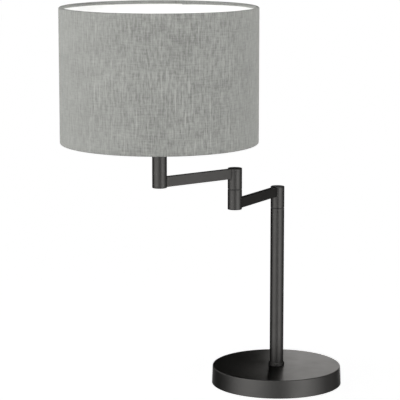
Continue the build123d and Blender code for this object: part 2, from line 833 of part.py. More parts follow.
def lower_arm_lead():
    """From the pole's seam through the lower arm to the elbow's seam."""
    return lead([(*pole_axis, pole_seam_z), (*pole_axis, lower_lead_z), (*elbow_axis, lower_lead_z),
                 (*elbow_axis, elbow_seam_z)], [lead_bend, lead_bend])


def upper_arm_lead():
    """From the elbow's seam through the upper arm and the riser to the switch."""
    return lead([(*elbow_axis, elbow_seam_z), (*elbow_axis, upper_lead_z), (*riser_axis, upper_lead_z),
                 (*riser_axis, switch_block_z)], [lead_bend, lead_bend])


# ---- everything, by name ----------------------------------------------------------------------
def all_parts():
    """Every sub-part of the lamp, from the table up."""
    pin_pole, pin_elbow = pole_pin_place(), elbow_pin_place()
    parts = {
        "base_pad": base_pad(),
        "base_plate": base_plate(),
        "plate_screws": plate_screws(),
        "base_weight": base_weight(),
        "base_cover": base_cover(),
        "cord_grommet": cord_grommet(),
        "terminal_block": terminal_block(),
        "block_screw": block_screw(),
        "stud_nut": stud_nut(),
        "stud_lock_washer": stud_lock_washer(),
        "stud_washer": stud_washer(),
        "pole_stud": pole_stud(),
        "pole_collar": pole_collar(),
        "pole_foot_plug": pole_foot_plug(),
        "pole_tube": pole_tube(),
        "pole_head_plug": pole_head_plug(),
        "pole_spindle": pole_spindle(),
        "pole_stop_pin": stop_pin(pin_pole, pole_seam_z),
        "base_lead": base_lead(),
        "knuckle_barrel": knuckle_barrel(),
        "knuckle_cap": barrel_cap(pole_axis, knuckle_top_z, 1, bore_radius),
        "lower_arm": lower_arm(),
        "elbow_lower_barrel": elbow_lower_barrel(),
        "elbow_bottom_cap": barrel_cap(elbow_axis, elbow_bottom_z, -1, bore_radius),
        "elbow_spindle": elbow_spindle(),
        "elbow_stop_pin": stop_pin(pin_elbow, elbow_seam_z),
        "lower_arm_lead": lower_arm_lead(),
        "elbow_upper_barrel": elbow_upper_barrel(),
        "elbow_cap": barrel_cap(elbow_axis, elbow_top_z, 1, bore_radius),
        "upper_arm": upper_arm(),
        "riser_bottom_cap": barrel_cap(riser_axis, riser_bottom_z, -1, tube_inner),
        "riser_tube": riser_tube(),
        "riser_top_plug": riser_top_plug(),
        "holder_nipple": holder_nipple(),
        "holder_cap": holder_cap(),
        "switch_block": switch_block(),
        "switch_bar": switch_bar(),
        "holder_core": holder_core(),
        "screw_shell": screw_shell(),
        "centre_contact": centre_contact(),
        "holder_shell": holder_shell(),
        "shade_rings": shade_rings(),
        "shade_spider": shade_spider(),
        "shade_bottom_ring": wire_ring(bottom_ring_z),
        "shade_top_ring": wire_ring(top_ring_z),
        "shade_lining": shade_lining(),
        "shade_cover": shade_cover(),
        "bulb_contact": bulb_contact(),
        "bulb_insulator": bulb_insulator(),
        "bulb_cap": bulb_cap(),
        "bulb_glass": bulb_glass(),
        "upper_arm_lead": upper_arm_lead(),
    }
    swivels = {"knuckle": (pole_axis, pole_seam_z, pin_pole), "elbow": (elbow_axis, elbow_seam_z, pin_elbow)}
    for name, (axis, seam_z, pin) in swivels.items():
        parts[f"{name}_thrust_washer"] = thrust_washer(axis, seam_z, pin)
        parts[f"{name}_friction_washers"] = friction_washers(axis, seam_z)
        parts[f"{name}_disc_springs"] = disc_springs(axis, seam_z)
        parts[f"{name}_nut"] = spindle_nut(axis, seam_z)
    return parts


os.makedirs("parts", exist_ok=True)
for node, shape in all_parts().items():
    export_step(shape, f"parts/{node}.step")
print("pole, elbow and riser axes:", pole_axis, elbow_axis, riser_axis)
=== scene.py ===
# %% [markdown]
# # A swing arm desk lamp
#
# A round weighted base carries a pole. Two short level arms swing on upright swivels, and a riser at the
# end of the upper arm holds a drum shade in grey linen. The metal parts, their places and their joints are
# already fixed by the frame that is loaded here. What is left is how the lamp looks: the cloth of the
# shade, the satin coat of the metal, the felt under the base, the threads of the lamp holder, and the light.

# %% Load the frame
import json
import bmesh
import bpy
import numpy as np
from math import cos, pi, radians, sin
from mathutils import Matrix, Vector


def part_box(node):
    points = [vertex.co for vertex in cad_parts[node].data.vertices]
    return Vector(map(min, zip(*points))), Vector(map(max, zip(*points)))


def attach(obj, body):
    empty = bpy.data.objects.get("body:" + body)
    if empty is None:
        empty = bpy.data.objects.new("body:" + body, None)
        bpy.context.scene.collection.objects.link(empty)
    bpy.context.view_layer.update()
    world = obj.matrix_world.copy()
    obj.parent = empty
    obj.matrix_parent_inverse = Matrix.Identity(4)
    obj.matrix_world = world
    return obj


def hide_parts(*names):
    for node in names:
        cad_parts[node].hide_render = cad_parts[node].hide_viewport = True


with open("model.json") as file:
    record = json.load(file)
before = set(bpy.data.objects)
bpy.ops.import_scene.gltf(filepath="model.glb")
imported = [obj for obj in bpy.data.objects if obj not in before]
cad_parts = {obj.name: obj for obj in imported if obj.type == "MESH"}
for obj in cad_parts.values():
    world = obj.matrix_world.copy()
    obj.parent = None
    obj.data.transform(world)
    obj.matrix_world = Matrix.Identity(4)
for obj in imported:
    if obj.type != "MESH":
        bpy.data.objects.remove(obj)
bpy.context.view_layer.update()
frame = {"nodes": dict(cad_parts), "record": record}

MM = 0.001

# %% [markdown]
# ## Where things are
#
# Every place comes from the frame. A turned part's box gives its axis, its radius and its two ends, so one
# small helper reads them all. Sizes that only the looks need, such as the thickness of cloth, are named
# where they are first used.


# %% Read the axes and heights from the frame
def turned_part(node):
    """(axis x, axis y, radius, lowest z, highest z) of an upright round part."""
    low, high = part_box(node)
    return (low.x + high.x) / 2, (low.y + high.y) / 2, (high.x - low.x) / 2, low.z, high.z


pole_x, pole_y, _, _, _ = turned_part("pole_tube")
elbow_x, elbow_y, _, _, _ = turned_part("elbow_lower_barrel")
shade_x, shade_y, shade_radius, shade_foot, shade_top = turned_part("shade_cover")
_, _, base_radius, _, base_top = turned_part("base_cover")
print(f"pole {pole_x:.3f} {pole_y:.3f}, elbow {elbow_x:.3f} {elbow_y:.3f}, shade {shade_x:.3f} {shade_y:.3f}")

# %% [markdown]
# ## The camera
#
# A product shot of a lamp is taken from far away with a long lens, a little above the shade's middle, so
# that upright tubes stay parallel and the base shows as a thin ellipse. The eye stands about three metres
# in front of the pole, looks slightly down, and turns a little to the left, towards the shade.

# %% Camera
eye_place = (0.0, -3.033, 0.812)
eye_down = 9.594
eye_left = 2.342
eye = bpy.data.objects.new("eye", bpy.data.cameras.new("eye"))
eye.data.lens = 172.9
eye.location = eye_place
eye.rotation_euler = (radians(90 - eye_down), 0, radians(eye_left))
bpy.context.scene.collection.objects.link(eye)
bpy.context.scene.camera = eye
print("camera", eye_place, "lens", round(eye.data.lens, 1))

# %% [markdown]
# ## Surfaces from two parameters
#
# Each new piece is a grid of points. The first parameter runs round the piece or along it and the second
# runs over its section. `grid_piece` turns such an array into a mesh in one go: it numbers the corners of
# every face with array arithmetic, and turns the faces outwards when the enclosed volume comes out negative.


# %% A grid of points becomes a mesh
def grid_piece(name, points, wrap_u=True, wrap_v=True, uv=None):
    """Mesh object from points[u, v, xyz]. A wrapped direction joins its last row to its first."""
    count_u, count_v = points.shape[:2]
    index = np.arange(count_u * count_v).reshape(count_u, count_v)
    u = np.arange(count_u if wrap_u else count_u - 1)
    v = np.arange(count_v if wrap_v else count_v - 1)
    here, over = index[u][:, v], index[(u + 1) % count_u][:, v]
    up, across = index[u][:, (v + 1) % count_v], index[(u + 1) % count_u][:, (v + 1) % count_v]
    quads = np.stack([here, over, across, up], axis=-1).reshape(-1, 4)
    flat = points.reshape(-1, 3)
    a, b, c, d = (flat[quads[:, k]] for k in range(4))
    volume = (a * np.cross(b, c)).sum() + (a * np.cross(c, d)).sum()
    flipped = volume < 0
    if flipped:
        quads = quads[:, ::-1]
    mesh = bpy.data.meshes.new(name)
    mesh.from_pydata(flat, [], quads)
    mesh.shade_smooth()
    if uv is not None:
        corner_u = np.stack([u, u + 1, u + 1, u], axis=-1)
        corner_v = np.stack([v, v, v + 1, v + 1], axis=-1)
        grid_u = np.repeat(corner_u[:, None, :], len(v), axis=1).reshape(-1, 4)
        grid_v = np.repeat(corner_v[None, :, :], len(u), axis=0).reshape(-1, 4)
        if flipped:
            grid_u, grid_v = grid_u[:, ::-1], grid_v[:, ::-1]
        along_u, along_v = uv
        pairs = np.stack([along_u[grid_u], along_v[grid_v]], axis=-1)
        mesh.uv_layers.new(name="cut").data.foreach_set("uv", pairs.astype(np.float32).ravel())
    piece = bpy.data.objects.new(name, mesh)
    bpy.context.scene.collection.objects.link(piece)
    print(f"{name}: {len(flat)} points, {len(quads)} faces")
    return piece


def merged(piece, within=1e-7):
    """Closes seams and poles: points that lie in one place become one."""
    work = bmesh.new()
    work.from_mesh(piece.data)
    bmesh.ops.remove_doubles(work, verts=work.verts, dist=within)
    bmesh.ops.dissolve_degenerate(work, dist=within, edges=work.edges)
    work.to_mesh(piece.data)
    work.free()
    return piece


def turned_grid(outline, axis, steps):
    """Outline points (radius, z) carried round an upright axis: x = r cos t, y = r sin t."""
    turn = np.linspace(0, 2 * pi, steps, endpoint=False)[:, None]
    r, z = outline[:, 0][None, :], outline[:, 1][None, :]
    return np.stack([axis[0] + r * np.cos(turn), axis[1] + r * np.sin(turn), z + 0 * turn], axis=-1)


# %% [markdown]
# ## Small helpers for materials
#
# A finish is a short chain: where on the piece, a pattern there, and what the pattern changes. The helpers
# below keep each finish to a few readable lines. Positions are the object's own, in metres, so a scale of
# 1000 draws a pattern with details about a millimetre across.


# %% Material helpers
class Finish:
    """One material and the nodes that it is built from."""

    def __init__(self, name, colour, roughness, metallic=0.0, **sockets):
        self.material = bpy.data.materials.new(name)
        self.material.use_nodes = True
        self.tree = self.material.node_tree
        self.shader = self.tree.nodes["Principled BSDF"]
        self.set("Base Color", (*colour, 1.0))
        self.set("Roughness", roughness)
        self.set("Metallic", metallic)
        for socket, value in sockets.items():
            self.set(socket.replace("_", " "), value)
        self.material.diffuse_color = (*colour, 1.0)

    def set(self, socket, value):
        self.shader.inputs[socket].default_value = value

    def node(self, kind, **values):
        """A node of that kind, with its properties and unlinked sockets set."""
        node = self.tree.nodes.new(f"ShaderNode{kind}")
        for key, value in values.items():
            if hasattr(node, key):
                setattr(node, key, value)
            else:
                node.inputs[key.replace("_", " ")].default_value = value
        return node

    def link(self, source, target):
        self.tree.links.new(source, target)
        return target

    def place(self, scale=(1, 1, 1)):
        """The piece's own position, scaled."""
        mapping = self.node("Mapping")
        mapping.inputs["Scale"].default_value = scale
        self.link(self.node("TexCoord").outputs["Object"], mapping.inputs["Vector"])
        return mapping.outputs["Vector"]

    def noise(self, place, scale=1.0, detail=3.0, rough=0.5):
        noise = self.node("TexNoise", Scale=scale, Detail=detail, Roughness=rough)
        self.link(place, noise.inputs["Vector"])
        return noise.outputs["Fac"]

    def spread(self, value, low, high, to_low, to_high):
        """The value, moved from one range to another and kept inside it."""
        node = self.node("MapRange", clamp=True)
        for socket, number in zip(("From Min", "From Max", "To Min", "To Max"), (low, high, to_low, to_high)):
            node.inputs[socket].default_value = number
        self.link(value, node.inputs["Value"])
        return node.outputs["Result"]

    def maths(self, how, *values):
        """One Math node. Its values are numbers or other nodes' outputs."""
        node = self.node("Math", operation=how)
        for value, socket in zip(values, node.inputs):
            if hasattr(value, "is_output"):
                self.link(value, socket)
            else:
                socket.default_value = value
        return node.outputs["Value"]

    def axes(self, place):
        """A place taken apart into its x, y and z."""
        parts = self.node("SeparateXYZ")
        self.link(place, parts.inputs["Vector"])
        return parts.outputs["X"], parts.outputs["Y"], parts.outputs["Z"]

    def joined(self, x, y):
        """A flat place made from two values."""
        parts = self.node("CombineXYZ")
        self.link(x, parts.inputs["X"])
        self.link(y, parts.inputs["Y"])
        return parts.outputs["Vector"]

    def mix(self, factor, dark, light):
        """A colour between two, by factor."""
        node = self.node("Mix", data_type="RGBA")
        self.link(factor, node.inputs["Factor"])
        for socket, colour in (("A", dark), ("B", light)):
            target = next(s for s in node.inputs if s.name == socket and s.type == "RGBA")
            target.default_value = (*colour, 1.0)
        return next(s for s in node.outputs if s.type == "RGBA")

    def bump(self, height, depth, strength=1.0):
        """Relief, depth metres high where the height is 1."""
        bump = self.node("Bump", Strength=strength, Distance=depth)
        self.link(height, bump.inputs["Height"])
        self.link(bump.outputs["Normal"], self.shader.inputs["Normal"])

    def drive(self, value, socket):
        self.link(value, self.shader.inputs[socket])


def dress(nodes, finish):
    """Gives CAD nodes their finish."""
    for name in nodes:
        for place in frame["nodes"][name].material_slots:
            place.material = finish.material


def coat(piece, finish, body):
    """Gives a new piece its finish and its body."""
    piece.data.materials.append(finish.material)
    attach(piece, body)
    return piece


# %% [markdown]
# ## The satin coat
#
# All the visible metal has one finish: a bronze black lacquer over turned and drawn steel. It is dark, but
# it isn't matt. Wide soft bands of light run down the tubes, so it needs a middling roughness and a strong,
# slightly warm reflection. Up close a sprayed coat has a faint orange peel and its gloss varies a little.

# %% The coat on tubes, barrels and arms
coat_colour = (0.066, 0.0645, 0.0625)


def satin_coat(name, roughness, edge, **sockets):
    """Bronze black lacquer: faint orange peel, and gloss that drifts a little over the piece. Edge is how
    much of its shine is left where it is seen along the surface."""
    finish = Finish(name, coat_colour, roughness, metallic=1.0, Specular_Tint=(edge, edge, edge, 1),
                    **sockets)
    peel = finish.noise(finish.place((900, 900, 900)), detail=2.0)
    drift = finish.noise(finish.place((35, 35, 35)), detail=4.0)
    finish.drive(finish.spread(drift, 0.3, 0.7, roughness - 0.03, roughness + 0.03), "Roughness")
    finish.bump(peel, 0.012 * MM, 0.6)
    return finish, drift


tube_coat, _ = satin_coat("bronze_black_tube", 0.45, edge=0.12)
tubes_and_arms = ["pole_tube", "pole_collar", "knuckle_barrel", "knuckle_cap", "lower_arm",
                  "elbow_lower_barrel", "elbow_bottom_cap", "elbow_upper_barrel", "elbow_cap", "upper_arm",
                  "riser_bottom_cap", "riser_tube"]
dress(tubes_and_arms, tube_coat)
print("satin coat on", len(tubes_and_arms), "pieces")

# %% [markdown]
# ## The base
#
# The base cover is spun, so its grain runs in rings about the pole. Under the same coat that grain still
# stretches the light a little across the rings, which a radial tangent with some anisotropy does. Lacquer
# flows out on a level face before it sets, so the top is smoother than the rim.

# %% The coat on the spun cover
base_coat, drift = satin_coat("bronze_black_spun", 0.43, edge=0.35, Anisotropic=0.15)
_, _, above = base_coat.axes(base_coat.place())
rim_low, rim_high, level_gloss = base_top - 2.0 * MM, base_top - 0.5 * MM, -0.11
level = base_coat.spread(above, rim_low, rim_high, 0, level_gloss)
base_coat.drive(base_coat.maths("ADD", base_coat.spread(drift, 0.3, 0.7, 0.40, 0.46), level), "Roughness")
tangent = base_coat.node("Tangent", direction_type="RADIAL", axis="Z")
base_coat.link(tangent.outputs["Tangent"], base_coat.shader.inputs["Tangent"])
dress(["base_cover"], base_coat)
print(f"the top's roughness is {0.43 + level_gloss:.2f}, the rim's 0.43")

# %% [markdown]
# ## The cloth of the shade
#
# A drum shade is one strip of linen, glued to a stiff white lining, with its ends lapped at the back. Along
# both edges the cloth is rolled over a wire ring and its raw edge is tucked behind the wire. So the piece is
# a closed profile, carried round the drum: up the wall, over the wire and under it, and back on the inside.
# Cloth simulation would add nothing here, because the cloth is stretched on a stiff drum. What makes it look
# like linen is its thread: thick places, called slubs, run up and down and stand slightly proud. They come
# from seeded random numbers, one row of them for each column of the mesh, smoothed along the thread.

# %% The profile of the cloth
cloth = 0.8 * MM
_, _, wire_outside, wire_low, wire_high = turned_part("shade_top_ring")
_, _, _, foot_wire_low, foot_wire_high = turned_part("shade_bottom_ring")
top_wire, foot_wire = (wire_low + wire_high) / 2, (foot_wire_low + foot_wire_high) / 2
fold_inside = wire_outside - (wire_high - wire_low) - cloth
fold_middle = (shade_radius + fold_inside) / 2
fold_half = (shade_radius - fold_inside) / 2
fold_high = shade_top - top_wire
fold_deep = 2.9 * MM
tuck_end = 282                  # degrees round the fold, from the outer wall over the wire and under it
wall_rows, fold_rows, inner_rows = 50, 18, 9


def fold(wire, way, inset, steps):
    """Ellipse round a wire, way +1 at the top and -1 at the foot: r = middle + half cos t, z = wire + way
    high sin t. Below the wire it is a little deeper than above. Also says how deep under the wire it is."""
    t = np.linspace(0, radians(tuck_end), steps)
    under = np.sin(t) < 0
    tall = np.where(under, fold_deep, fold_high) - inset
    radius = fold_middle + (fold_half - inset) * np.cos(t)
    return np.stack([radius, wire + way * tall * np.sin(t), np.where(under, -way * np.sin(t), 0)], axis=-1)


def wall(radius, low, high, steps):
    """Straight run up the wall, without its two ends, which belong to the folds."""
    z = np.linspace(low, high, steps + 2)[1:-1]
    return np.stack([np.full(steps, radius), z, np.zeros(steps)], axis=-1)


outside = np.concatenate([fold(foot_wire, -1, 0, fold_rows)[::-1],
                          wall(shade_radius, foot_wire, top_wire, wall_rows),
                          fold(top_wire, 1, 0, fold_rows)])
inside = np.concatenate([fold(top_wire, 1, cloth, inner_rows)[::-1],
                         wall(shade_radius - cloth, top_wire, foot_wire, 4),
                         fold(foot_wire, -1, cloth, inner_rows)])
cloth_profile = np.concatenate([outside, inside])
steps_up = np.hypot(*np.diff(outside[:, :2], axis=0).T)
cloth_height = steps_up.sum()
print(f"the strip is {cloth_height / MM:.1f} mm high, and its profile has {len(cloth_profile)} points")

# %% [markdown]
# ### Random threads
#
# A thread's thickness changes slowly along it and not at all like its neighbour's. So each column of the
# mesh gets its own random numbers at knots about 12 mm apart. Cubic B-spline weights join them smoothly: one
# matrix product gives the whole sheet. Only the highest values become slubs, so that they stay rare.


# %% Slubs along the threads
def spline_weights(rows, knots):
    """Cubic B-spline weights of each knot at each row: 2/3 - x^2 + |x|^3/2 within one knot, then
    (2 - |x|)^3/6 within two."""
    x = np.abs(np.linspace(0, knots - 1, rows)[:, None] - np.arange(knots)[None, :])
    near, far = 2 / 3 - x ** 2 + x ** 3 / 2, (2 - x) ** 3 / 6
    return np.where(x < 1, near, np.where(x < 2, far, 0))


girth = 2 * pi * shade_radius
lap = 10 * MM                   # how far the strip's ends overlap
lap_step = 0.15 * MM            # the width of mesh in which the upper end's edge steps down
lap_rise = 0.35 * MM
lap_heading = radians(79)
columns = 842
along = np.linspace(0, girth - lap_step, columns)
random = np.random.default_rng(7)
knot_gap = 12 * MM
knots = int(cloth_height / knot_gap)
threads = random.normal(size=(columns, knots)) @ spline_weights(len(outside), knots).T
threads /= threads.std()
front_patch = np.cos((along / girth - 0.47) * 2 * pi)
plenty = 0.75 + 0.35 * front_patch
slub = np.clip((threads - 1.1) / 1.6, 0, 1) * plenty[:, None]
print(f"slubs cover {100 * (slub > 0.1).mean():.0f} percent of the cloth")

# %% [markdown]
# ### The sheet
#
# The profile is carried round the drum. The upper end of the strip lies over the lower one, so the last
# 10 mm stand proud and end in a small step. The tuck behind the wire is hand work: it is deeper just past
# the lap and wavers a little elsewhere.


# %% Carry the profile round the drum
def soft_step(x):
    """0 below 0, 1 above 1, and a smooth rise between: 3x^2 - 2x^3."""
    x = np.clip(x, 0, 1)
    return x * x * (3 - 2 * x)


slub_relief = 0.14 * MM
heading = lap_heading - along / shade_radius
lapped = soft_step((along - (girth - lap)) / (1.5 * MM)) * lap_rise
tuck = 1 * MM * np.exp(-along / (30 * MM)) + 0.15 * MM * np.sin(5 * heading + 1) * np.sin(2 * heading)
raised = np.zeros((columns, len(cloth_profile)))
raised[:, :len(outside)] = slub * slub_relief
middle_z = (top_wire + foot_wire) / 2
radius = cloth_profile[None, :, 0]
z = cloth_profile[None, :, 1]
outer_side = np.clip((radius - fold_middle) / fold_half, -1, 1)
radius = radius + (raised + lapped[:, None]) * outer_side
z = z - np.sign(z - middle_z) * cloth_profile[None, :, 2] * tuck[:, None]
turn = heading[:, None]
points = np.stack([shade_x + radius * np.cos(turn), shade_y + radius * np.sin(turn), z + 0 * turn], axis=-1)
up_path = np.concatenate([[0], np.cumsum(steps_up)])
back_path = np.interp(np.arange(len(inside) + 1), [0, len(inside)], [cloth_height, 0])
shade_fabric = grid_piece("shade_fabric", points, uv=(np.append(along, girth), np.append(up_path, back_path)))
slub_on_cloth = np.zeros((columns, len(cloth_profile)))
slub_on_cloth[:, :len(outside)] = slub
values = shade_fabric.data.attributes.new("slub", "FLOAT", "POINT").data
values.foreach_set("value", slub_on_cloth.astype(np.float32).ravel())
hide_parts("shade_cover")

# %% [markdown]
# ### The look of linen
#
# Linen is a plain weave: each thread goes over one and under the next. The finish works on the cut of the
# cloth, in metres, so a thread is 0.6 mm wide wherever it goes. Whole numbers of threads say which thread
# this is, and the rest says where across it. Each thread then gets its own tone, which drifts along it, and
# the product of two sines says which of the two crossing threads lies on top. Groups of threads drift
# together as well, which is what shows from across a room. One stretch of the cloth is livelier than the
# rest, as yarn from another bobbin is, and a thin line of painted shade runs along the lap's edge, where
# the step of the lapped end would cast a shadow.

# %% Linen: thread over thread
linen_dark, linen_light = (0.215, 0.218, 0.205), (0.50, 0.507, 0.48)
warp_pitch, weft_pitch = 0.60 * MM, 0.66 * MM
linen = Finish("grey_linen", (0.34, 0.345, 0.325), 0.92, Sheen_Weight=0.12, Sheen_Roughness=0.5,
               Specular_IOR_Level=0.25)
across, up, _ = linen.axes(linen.node("UVMap", uv_map="cut").outputs["UV"])
warp = linen.maths("DIVIDE", across, warp_pitch)
weft = linen.maths("DIVIDE", up, weft_pitch)
unlike = 7.3                    # keeps the noise of neighbouring threads apart
per_metre = 45                  # how often a thread's tone changes
warp_tone = linen.noise(linen.joined(linen.maths("MULTIPLY", linen.maths("FLOOR", warp), unlike),
                                     linen.maths("MULTIPLY", up, per_metre)), detail=2.0)
weft_tone = linen.noise(linen.joined(linen.maths("MULTIPLY", across, per_metre),
                                     linen.maths("MULTIPLY", linen.maths("FLOOR", weft), unlike)), detail=2.0)
warp_bulge = linen.maths("SINE", linen.maths("MULTIPLY", warp, pi))
weft_bulge = linen.maths("SINE", linen.maths("MULTIPLY", weft, pi))
crossing = linen.maths("MULTIPLY", warp_bulge, weft_bulge)
on_top = linen.spread(crossing, -0.3, 0.3, 0, 1)
warp_high, weft_high = linen.maths("ABSOLUTE", warp_bulge), linen.maths("ABSOLUTE", weft_bulge)
height = linen.maths("MULTIPLY_ADD", on_top, linen.maths("SUBTRACT", warp_high, weft_high), weft_high)
tone = linen.maths("MULTIPLY_ADD", on_top, linen.maths("SUBTRACT", warp_tone, weft_tone), weft_tone)
print(f"threads round the drum: {girth / warp_pitch:.0f}, and up it: {cloth_height / weft_pitch:.0f}")

# %% [markdown]
# From a step away the eye no longer sees threads, but streaks: bundles of like threads, long in their own
# direction and a few millimetres wide. They are stretched noise, one for each direction, with slow clouds
# below them and the slubs on top. The sum then has its contrast set, and picks a tone between two greys.


# %% Linen: bundles, clouds and slubs
def patches(each_way, each_up, **values):
    """Noise on the cut, with that many patches to a metre each way."""
    spot = linen.joined(linen.maths("MULTIPLY", across, each_way), linen.maths("MULTIPLY", up, each_up))
    return linen.noise(spot, detail=3.0, **values)


slubs = linen.node("Attribute", attribute_name="slub").outputs["Fac"]
mixed = linen.maths("MULTIPLY_ADD", tone, 0.55, linen.maths("MULTIPLY", patches(360, 60, rough=0.65), 1.20))
for layer, share in ((patches(75, 420, rough=0.65), 0.55), (patches(14, 20), 0.30), (slubs, 0.36),
                     (height, 0.10)):
    mixed = linen.maths("MULTIPLY_ADD", layer, share, mixed)
# painted shade: a thin dark line along the lap's edge, standing in for the shadow of the lap's step
from_lap_edge = linen.maths("ABSOLUTE", linen.maths("SUBTRACT", across, girth - lap))
lap_shade_line = linen.spread(from_lap_edge, 0.4 * MM, 1.1 * MM, 1, 0)
mixed = linen.maths("MULTIPLY_ADD", lap_shade_line, -0.30, mixed)

# %% Linen: contrast and colour
middle, reach = 1.38, 0.45      # the sum's middle, and how far it is let go from there
lively_place = 155.4 / 360      # as a share of the girth, from the lap
calm, lively = 0.72, 1.35
from_lively = linen.maths("ABSOLUTE", linen.maths("SUBTRACT", linen.maths("DIVIDE", across, girth),
                                                  lively_place))
contrast = linen.spread(from_lively, 0.045, 0.16, lively, calm)
mixed = linen.maths("MULTIPLY_ADD", linen.maths("SUBTRACT", mixed, middle), contrast, middle)
linen.drive(linen.mix(linen.spread(mixed, middle - reach, middle + reach, 0, 1), linen_dark, linen_light),
            "Base Color")
linen.bump(linen.maths("MULTIPLY_ADD", slubs, 0.5, height), 0.07 * MM, 0.8)
coat(shade_fabric, linen, "upper_arm")
print("nodes in the linen:", len(linen.tree.nodes))

# %% [markdown]
# ### The lining and the wires
#
# The lining is a white laminate with a slight gloss. The rings and the spider are coated wire.

# %% White lining and white coated wire
lining = Finish("white_laminate", (0.90, 0.90, 0.89), 0.55, Specular_IOR_Level=0.35)
lining_grain = lining.noise(lining.place((60, 60, 60)), detail=4.0)
lining.drive(lining.mix(lining.spread(lining_grain, 0.3, 0.7, 0, 1), (0.88, 0.88, 0.87), (0.91, 0.91, 0.90)),
             "Base Color")
dress(["shade_lining"], lining)

wire_coat = Finish("white_coated_wire", (0.80, 0.80, 0.79), 0.35)
wire_peel = wire_coat.noise(wire_coat.place((700, 700, 700)), detail=2.0)
wire_coat.bump(wire_peel, 0.02 * MM, 0.6)
wire_coat.drive(wire_coat.spread(wire_peel, 0.3, 0.7, 0.3, 0.42), "Roughness")
dress(["shade_spider", "shade_top_ring", "shade_bottom_ring"], wire_coat)
print(f"wire {(wire_high - wire_low) / MM:.1f} mm thick, rings at z {foot_wire:.3f} and {top_wire:.3f}")

# %% [markdown]
# ## Screw threads
#
# The lamp holder's upper half and the bulb's cap both carry a rounded thread. A thread is a radius that
# depends on the height and the angle together: the crest climbs by one pitch for each turn. The function
# below builds the wall's closed profile, with the thread on one side or on both, and fades the thread out
# where the wall is plain.


# %% A threaded sleeve
def threaded_sleeve(name, axis, outside, inside, pitch, depth, thread_low, thread_high, both=False, steps=96):
    """Outside and inside are (radius, z) runs from low to high. On the thread r falls by depth times
    (1 - cos(2 pi z / pitch - t)) / 2, where t is the angle round the axis."""
    t = np.linspace(0, 2 * pi, steps, endpoint=False)[:, None]

    def skin(run, has_thread):
        r, z = run[:, 0][None, :] + 0 * t, run[:, 1][None, :] + 0 * t
        fade = soft_step((z - thread_low) / pitch) * soft_step((thread_high - z) / pitch)
        cut = depth * (1 - np.cos(2 * pi * z / pitch - t)) / 2 if has_thread else 0
        return r - cut * fade, z

    r_out, z_out = skin(outside, True)
    r_in, z_in = skin(inside[::-1], both)
    r, z = np.concatenate([r_out, r_in], axis=1), np.concatenate([z_out, z_in], axis=1)
    return grid_piece(name, np.stack([axis[0] + r * np.cos(t), axis[1] + r * np.sin(t), z], axis=-1))


def run_up(low, high, radius, steps):
    """A plain upright run of (radius, z) points."""
    z = np.linspace(low, high, steps)
    return np.stack([np.full(steps, radius), z], axis=-1)


# %% [markdown]
# ## The lamp holder
#
# The upper half of the holder is a black moulded sleeve with a 2.5 mm thread for the shade rings, and a
# rim at its top that the thread runs up to.

# %% Threaded upper half of the lamp holder
holder_x, holder_y, rim_radius, shell_low, shell_high = turned_part("holder_shell")
shell_axis = (holder_x, holder_y)
_, _, cap_radius, _, _ = turned_part("holder_cap")
shell_wall = 1.8 * MM
rim_wide, rim_tall, edge = rim_radius - cap_radius, 3.0 * MM, 0.5 * MM
rim_foot = shell_high - rim_tall
shell_inside_radius = cap_radius - shell_wall
rim_turn = np.linspace(0, pi / 2, 5)
rim_chamfer = 0.2 * MM
rim_outline = np.concatenate([
    [[cap_radius, rim_foot - rim_wide], [rim_radius - rim_chamfer, rim_foot - rim_chamfer],
     [rim_radius, rim_foot]],
    np.stack([rim_radius - edge + edge * np.cos(rim_turn), shell_high - edge + edge * np.sin(rim_turn)], -1)])
shell_outside = np.concatenate([run_up(shell_low, rim_foot - rim_wide - 0.3 * MM, cap_radius, 118),
                                rim_outline])
lip = np.stack([shell_inside_radius + edge - edge * np.sin(rim_turn[::-1]),
                shell_high - edge + edge * np.cos(rim_turn[::-1])], -1)
shell_inside = np.concatenate([run_up(shell_low, shell_high - edge - 0.2 * MM, shell_inside_radius, 6),
                               lip])
holder_thread = threaded_sleeve("holder_thread", shell_axis, shell_outside, shell_inside, 2.5 * MM, 0.7 * MM,
                                shell_low + 1 * MM, rim_foot - rim_wide)
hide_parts("holder_shell")

# %% Black moulded plastic
moulding = Finish("black_moulding", (0.022, 0.022, 0.022), 0.42)
moulding_grain = moulding.noise(moulding.place((450, 450, 450)), detail=3.0)
moulding.drive(moulding.spread(moulding_grain, 0.3, 0.7, 0.36, 0.5), "Roughness")
moulding.bump(moulding_grain, 0.02 * MM, 0.5)
coat(holder_thread, moulding, "upper_arm")
dress(["holder_cap", "shade_rings", "switch_block"], moulding)

switch_gloss = Finish("black_switch_bar", (0.02, 0.02, 0.02), 0.22)
rubbed = switch_gloss.noise(switch_gloss.place((120, 300, 300)), detail=4.0)
switch_gloss.drive(switch_gloss.spread(rubbed, 0.35, 0.7, 0.18, 0.34), "Roughness")
dress(["switch_bar"], switch_gloss)
print("black plastic:", moulding.material.name, "and", switch_gloss.material.name)

# %% [markdown]
# ## The bulb
#
# The cap of the bulb is thin aluminium rolled into the E27 thread, which has a pitch of 3.62 mm. The metal
# is thin, so the thread shows on its inside as well. Its foot is drawn in over the black glass insulator.

# %% Rolled cap of the bulb
_, _, bulb_cap_radius, bulb_cap_low, bulb_cap_high = turned_part("bulb_cap")
cap_metal = 0.45 * MM
glass_seat = 3.3 * MM
foot_turn = np.linspace(-pi / 2, 0, 7)
foot_round = 1.2 * MM


def cap_skin(inset):
    """The cap's wall: a rounded foot that turns inwards, then straight up to the glass."""
    radius = bulb_cap_radius - inset
    curve = foot_round - inset
    foot = np.stack([bulb_cap_radius - foot_round + curve * np.cos(foot_turn),
                     bulb_cap_low + foot_round + curve * np.sin(foot_turn)], -1)
    return np.concatenate([foot, run_up(bulb_cap_low + foot_round + 0.2 * MM, bulb_cap_high, radius, 72)])


